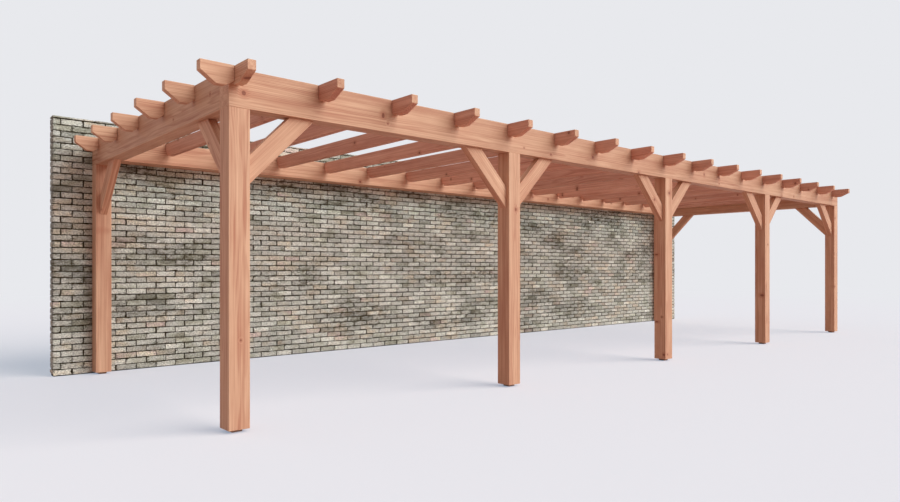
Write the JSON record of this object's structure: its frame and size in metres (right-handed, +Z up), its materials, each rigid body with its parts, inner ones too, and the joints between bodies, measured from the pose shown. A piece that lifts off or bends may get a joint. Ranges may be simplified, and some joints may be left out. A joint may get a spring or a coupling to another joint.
{
  "type": "lean-to veranda",
  "caption": "Timber lean-to veranda: square posts, front beam, knee braces and level open rafters with chamfered tails, against a brick wall.",
  "frame": {"origin": "on the ground under the middle of the whole, brick wall and rafter tails included", "axes": "+X along the front beam from the left end to the right end as seen from the front, +Y from the front posts to the wall, +Z up"},
  "size_m": [11.913, 3.885, 2.665],
  "materials": {
    "timber": "planed softwood with a reddish oil finish, matt",
    "brick": "weathered grey and buff fired clay, rough, with dark joints"
  },
  "bodies": {
    "root": {"brace_gable_left_front": "timber", "brace_gable_left_wall": "timber", "brace_gable_right_front": "timber", "brace_gable_right_wall": "timber", "brace_post_1_right": "timber", "brace_post_2_left": "timber", "brace_post_2_right": "timber", "brace_post_3_left": "timber", "brace_post_3_right": "timber", "brace_post_4_left": "timber", "brace_post_4_right": "timber", "brace_post_5_left": "timber", "brick_wall": "brick", "corner_tail": "timber", "front_beam": "timber", "front_post_1": "timber", "front_post_2": "timber", "front_post_3": "timber", "front_post_4": "timber", "front_post_5": "timber", "gable_beam_left": "timber", "gable_beam_right": "timber", "post_feet": "timber", "rafter_02": "timber", "rafter_03": "timber", "rafter_04": "timber", "rafter_05": "timber", "rafter_06": "timber", "rafter_07": "timber", "rafter_08": "timber", "rafter_09": "timber", "rafter_10": "timber", "rafter_11": "timber", "rafter_12": "timber", "rafter_13": "timber", "rafter_14": "timber", "rafter_15": "timber", "rafter_16": "timber", "rafter_17": "timber", "side_tails_left": "timber", "side_tails_right": "timber", "wall_plate": "timber", "wall_post_left": "timber", "wall_post_right": "timber"}
  },
  "joints": []
}
